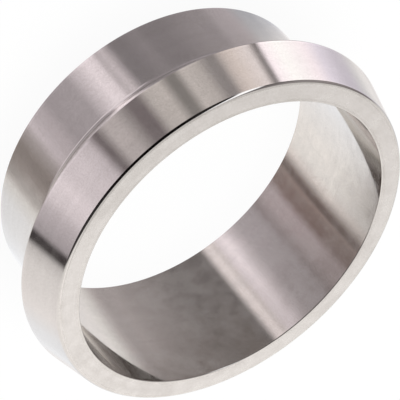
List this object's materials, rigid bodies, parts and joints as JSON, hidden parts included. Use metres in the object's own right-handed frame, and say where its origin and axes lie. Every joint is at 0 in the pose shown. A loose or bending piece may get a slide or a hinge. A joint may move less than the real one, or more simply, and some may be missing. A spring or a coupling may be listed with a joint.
{
  "type": "dairy union liner",
  "caption": "Turned stainless ring for a screwed hygienic pipe union: a thin weld spigot behind a tapered collar with a flat sealing face and a sloping nut seat.",
  "frame": {"origin": "centre of the weld end, on the bore's axis", "axes": "+Z along the bore, from the weld end to the sealing face; X and Y are alike, because the liner is round"},
  "size_m": [0.1208, 0.1208, 0.044],
  "materials": {
    "turned_stainless": "fine turned stainless steel, satin on the outside and on the sealing face, smoother in the bore"
  },
  "bodies": {
    "root": {"liner": "turned_stainless"}
  },
  "joints": []
}
